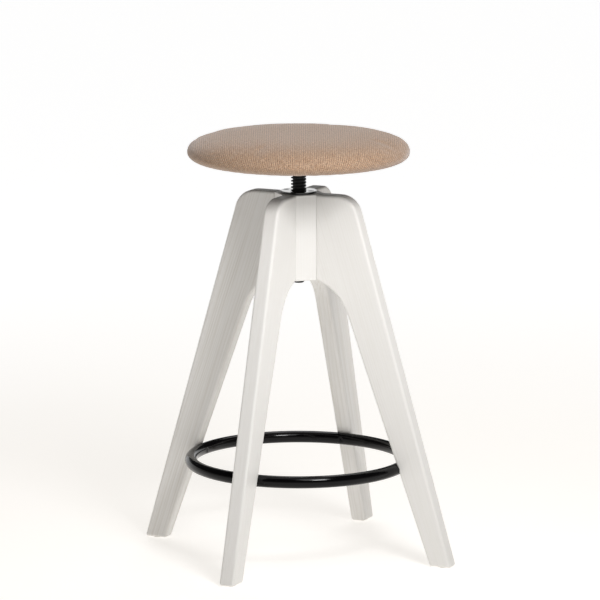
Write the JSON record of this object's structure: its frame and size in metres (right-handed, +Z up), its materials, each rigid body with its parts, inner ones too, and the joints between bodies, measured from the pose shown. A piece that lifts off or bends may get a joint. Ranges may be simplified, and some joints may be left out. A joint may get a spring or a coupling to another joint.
{
  "type": "adjustable swivel stool",
  "caption": "Round padded stool seat on a height-adjusting screw, over a wooden frame of splayed plank legs with a round tube footrest ring.",
  "frame": {"origin": "on the floor under the screw's axis", "axes": "+Z up along the screw; the legs lie along +X, +Y, -X and -Y"},
  "size_m": [0.5292, 0.5292, 0.669],
  "materials": {
    "white_wood": "white stain under matt lacquer, grain showing",
    "dowel_wood": "plain beech",
    "plywood": "sanded plywood",
    "black_gloss_metal": "gloss black coating",
    "black_steel": "black oxide, slightly oily",
    "zinc_steel": "zinc plated",
    "nylon": "natural nylon",
    "foam": "upholstery foam",
    "seat_fabric": "woven melange upholstery",
    "dust_cloth": "non-woven cloth"
  },
  "bodies": {
    "base": {"hub_block": "white_wood", "leg_front": "white_wood", "leg_right": "white_wood", "leg_rear": "white_wood", "leg_left": "white_wood", "leg_dowels": "dowel_wood", "foot_glides": "nylon", "footrest_ring": "black_gloss_metal", "footrest_screws": "black_steel", "top_plate": "black_gloss_metal", "plate_screws": "black_steel", "spindle_nut": "black_steel"},
    "guide": {"guide_bush": "nylon"},
    "seat": {"spindle": "black_steel", "retaining_clip": "zinc_steel", "seat_collar": "black_steel", "seat_flange": "black_gloss_metal", "flange_screws": "zinc_steel", "tee_nuts": "zinc_steel", "seat_board": "plywood", "seat_foam": "foam", "seat_cover": "seat_fabric", "dust_cover": "dust_cloth", "cover_staples": "zinc_steel"}
  },
  "joints": [
    {"name": "seat_lift", "type": "slide", "parent": "base", "child": "guide", "axis": [0, 0, 1], "range_m": [-0.03, 0.0725]},
    {"name": "seat_turn", "type": "hinge", "parent": "guide", "child": "seat", "pos_m": [0, 0, 0.6], "axis": [0, 0, 1], "range_deg": [-2160, 5220]}
  ],
  "couplings": [
    {"joint": "seat_lift", "follows": "seat_turn", "m_per_rad": 0.00079577}
  ]
}
